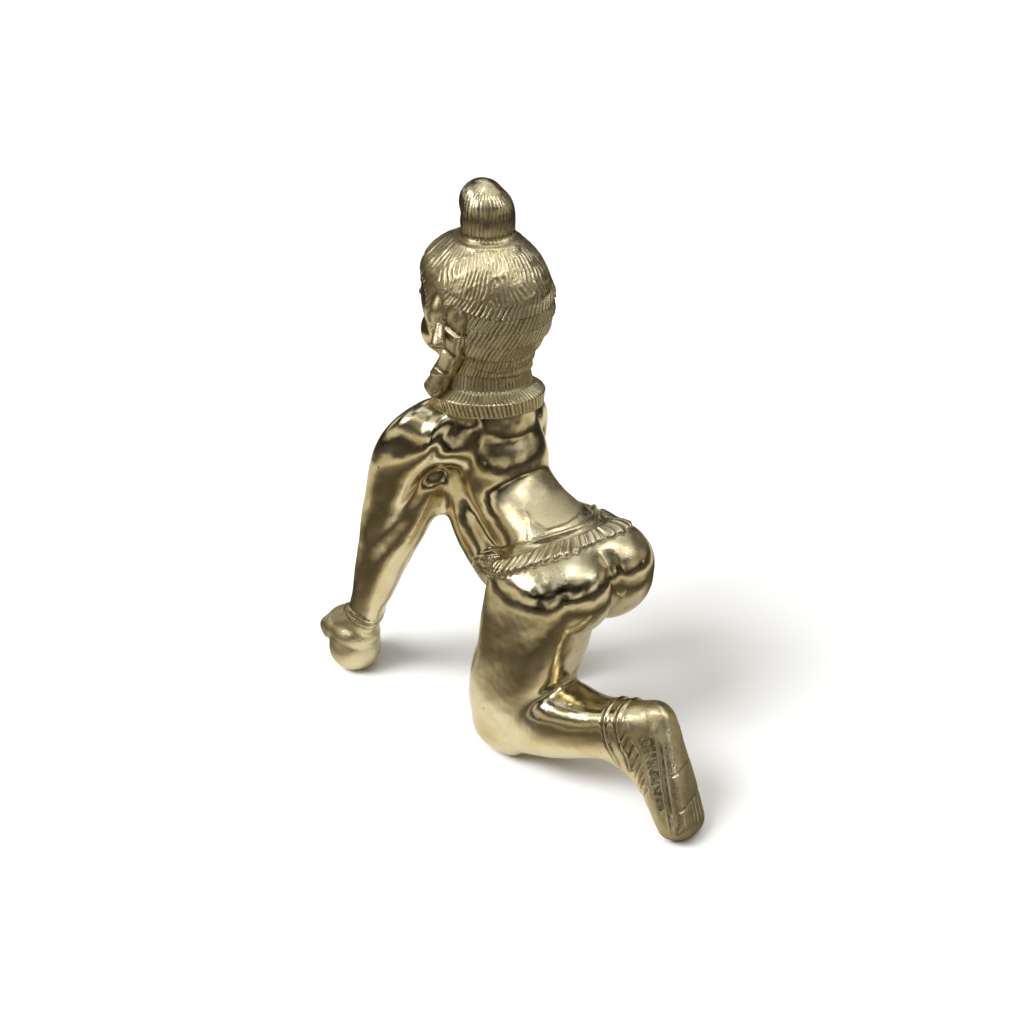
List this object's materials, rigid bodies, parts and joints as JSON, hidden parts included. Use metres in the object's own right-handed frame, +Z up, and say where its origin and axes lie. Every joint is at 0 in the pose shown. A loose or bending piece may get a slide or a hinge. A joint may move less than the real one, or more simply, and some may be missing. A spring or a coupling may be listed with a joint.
{
  "type": "crawling child figure idol",
  "caption": "Solid cast brass figure of a crawling child with one hand on a ball and a sweet held in the other, for a shrine shelf",
  "frame": {"origin": "on the floor plane, at the centre of the bounding box's footprint", "axes": "+Z up, the figure faces -Y, its left side is +X"},
  "size_m": [0.0632, 0.133, 0.153],
  "materials": {
    "brass": "hand polished cast brass with darker metal left in the cuts"
  },
  "bodies": {
    "root": {"idol": "brass"}
  },
  "joints": []
}
